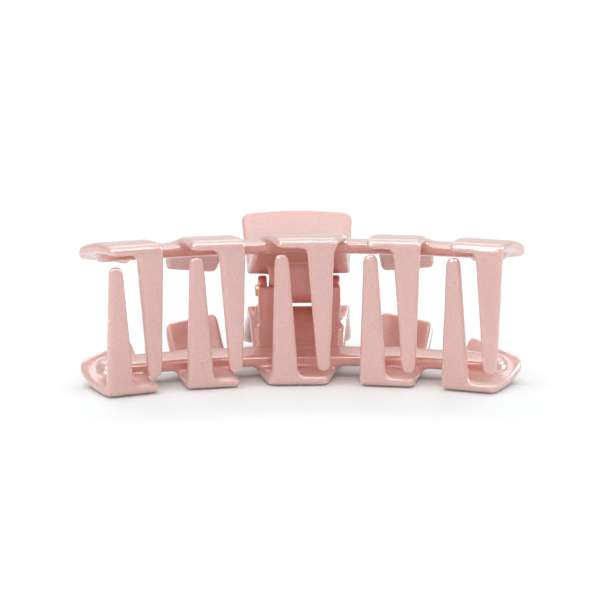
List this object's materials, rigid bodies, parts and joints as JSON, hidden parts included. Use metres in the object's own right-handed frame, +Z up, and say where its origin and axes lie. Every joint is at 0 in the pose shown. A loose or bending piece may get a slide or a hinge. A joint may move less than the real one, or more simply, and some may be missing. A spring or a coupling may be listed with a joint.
{
  "type": "claw clip",
  "caption": "Closed hair claw with facing curved combs of broad plates and flat teeth, finger handles and a sprung pin hinge.",
  "frame": {"origin": "centre of the closed clip's bounding box, on the floor it lies on", "axes": "+X along the clip from the lower jaw's tooth side to the upper jaw's, +Y from the teeth to the handles, +Z up through the upper jaw"},
  "size_m": [0.1018, 0.054, 0.0343],
  "materials": {
    "pearl_plastic": "pale pink pearl, satin to glossy",
    "pin_brass": "plain, lightly polished",
    "spring_steel": "drawn wire"
  },
  "bodies": {
    "lower": {"lower_jaw": "pearl_plastic", "hinge_pin": "pin_brass", "torsion_spring": "spring_steel"},
    "upper": {"upper_jaw": "pearl_plastic"}
  },
  "joints": [
    {"name": "jaw_hinge", "type": "hinge", "parent": "lower", "child": "upper", "pos_m": [0, 0.00977, 0.01715], "axis": [-1, 0, 0], "range_deg": [0, 78], "stiffness_Nm_per_rad": 0.16, "springref_deg": -34.38, "deforming": ["torsion_spring"]}
  ]
}
